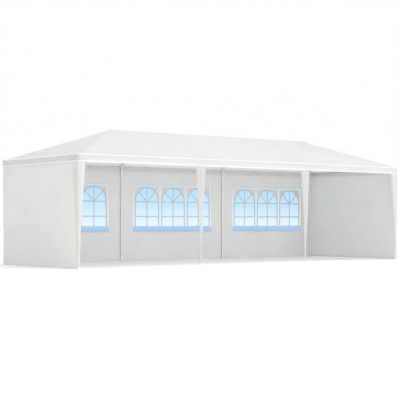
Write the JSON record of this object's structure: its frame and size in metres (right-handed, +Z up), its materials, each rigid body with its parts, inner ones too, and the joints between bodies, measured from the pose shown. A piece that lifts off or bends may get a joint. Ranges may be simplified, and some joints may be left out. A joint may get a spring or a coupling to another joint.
{
  "type": "marquee tent",
  "caption": "Hipped party marquee on a steel tube frame, with an open long front, windowed back wall panels, plain end walls and gathered leg drapes.",
  "frame": {"origin": "on the ground under the middle of the tent", "axes": "+X along the length, to the right of someone who faces the open front from outside; +Y from the open front to the back wall; +Z up"},
  "size_m": [9.0074, 3.0074, 2.85],
  "materials": {
    "steel_tube": "satin white powder coat",
    "tube_fitting": "satin white powder coat",
    "roof_sheet": "coated woven sheet",
    "wall_sheet": "coated woven sheet",
    "clear_sheet": "clear flexible sheet",
    "drape_cloth": "soft woven cloth"
  },
  "bodies": {
    "root": {"back_wall_left": "wall_sheet", "back_wall_middle": "wall_sheet", "back_wall_right": "wall_sheet", "eave_fitting_back_left": "tube_fitting", "eave_fitting_back_mid_left": "tube_fitting", "eave_fitting_back_mid_right": "tube_fitting", "eave_fitting_back_right": "tube_fitting", "eave_fitting_front_left": "tube_fitting", "eave_fitting_front_mid_left": "tube_fitting", "eave_fitting_front_mid_right": "tube_fitting", "eave_fitting_front_right": "tube_fitting", "eave_tube_back_left": "steel_tube", "eave_tube_back_middle": "steel_tube", "eave_tube_back_right": "steel_tube", "eave_tube_front_left": "steel_tube", "eave_tube_front_middle": "steel_tube", "eave_tube_front_right": "steel_tube", "eave_tube_left_end": "steel_tube", "eave_tube_right_end": "steel_tube", "hip_rafter_back_left": "steel_tube", "hip_rafter_back_right": "steel_tube", "hip_rafter_front_left": "steel_tube", "hip_rafter_front_right": "steel_tube", "left_end_wall": "wall_sheet", "leg_drape_left": "drape_cloth", "leg_drape_mid_left": "drape_cloth", "leg_drape_mid_right": "drape_cloth", "leg_drape_right": "drape_cloth", "post_back_left": "steel_tube", "post_back_mid_left": "steel_tube", "post_back_mid_right": "steel_tube", "post_back_right": "steel_tube", "post_front_left": "steel_tube", "post_front_mid_left": "steel_tube", "post_front_mid_right": "steel_tube", "post_front_right": "steel_tube", "rafter_back_mid_left": "steel_tube", "rafter_back_mid_right": "steel_tube", "rafter_front_mid_left": "steel_tube", "rafter_front_mid_right": "steel_tube", "ridge_fitting_left": "tube_fitting", "ridge_fitting_mid_left": "tube_fitting", "ridge_fitting_mid_right": "tube_fitting", "ridge_fitting_right": "tube_fitting", "ridge_tube_left": "steel_tube", "ridge_tube_middle": "steel_tube", "ridge_tube_right": "steel_tube", "right_end_wall": "wall_sheet", "roof_cover": "roof_sheet", "window_sheet_left": "clear_sheet", "window_sheet_middle": "clear_sheet", "window_sheet_right": "clear_sheet"}
  },
  "joints": []
}
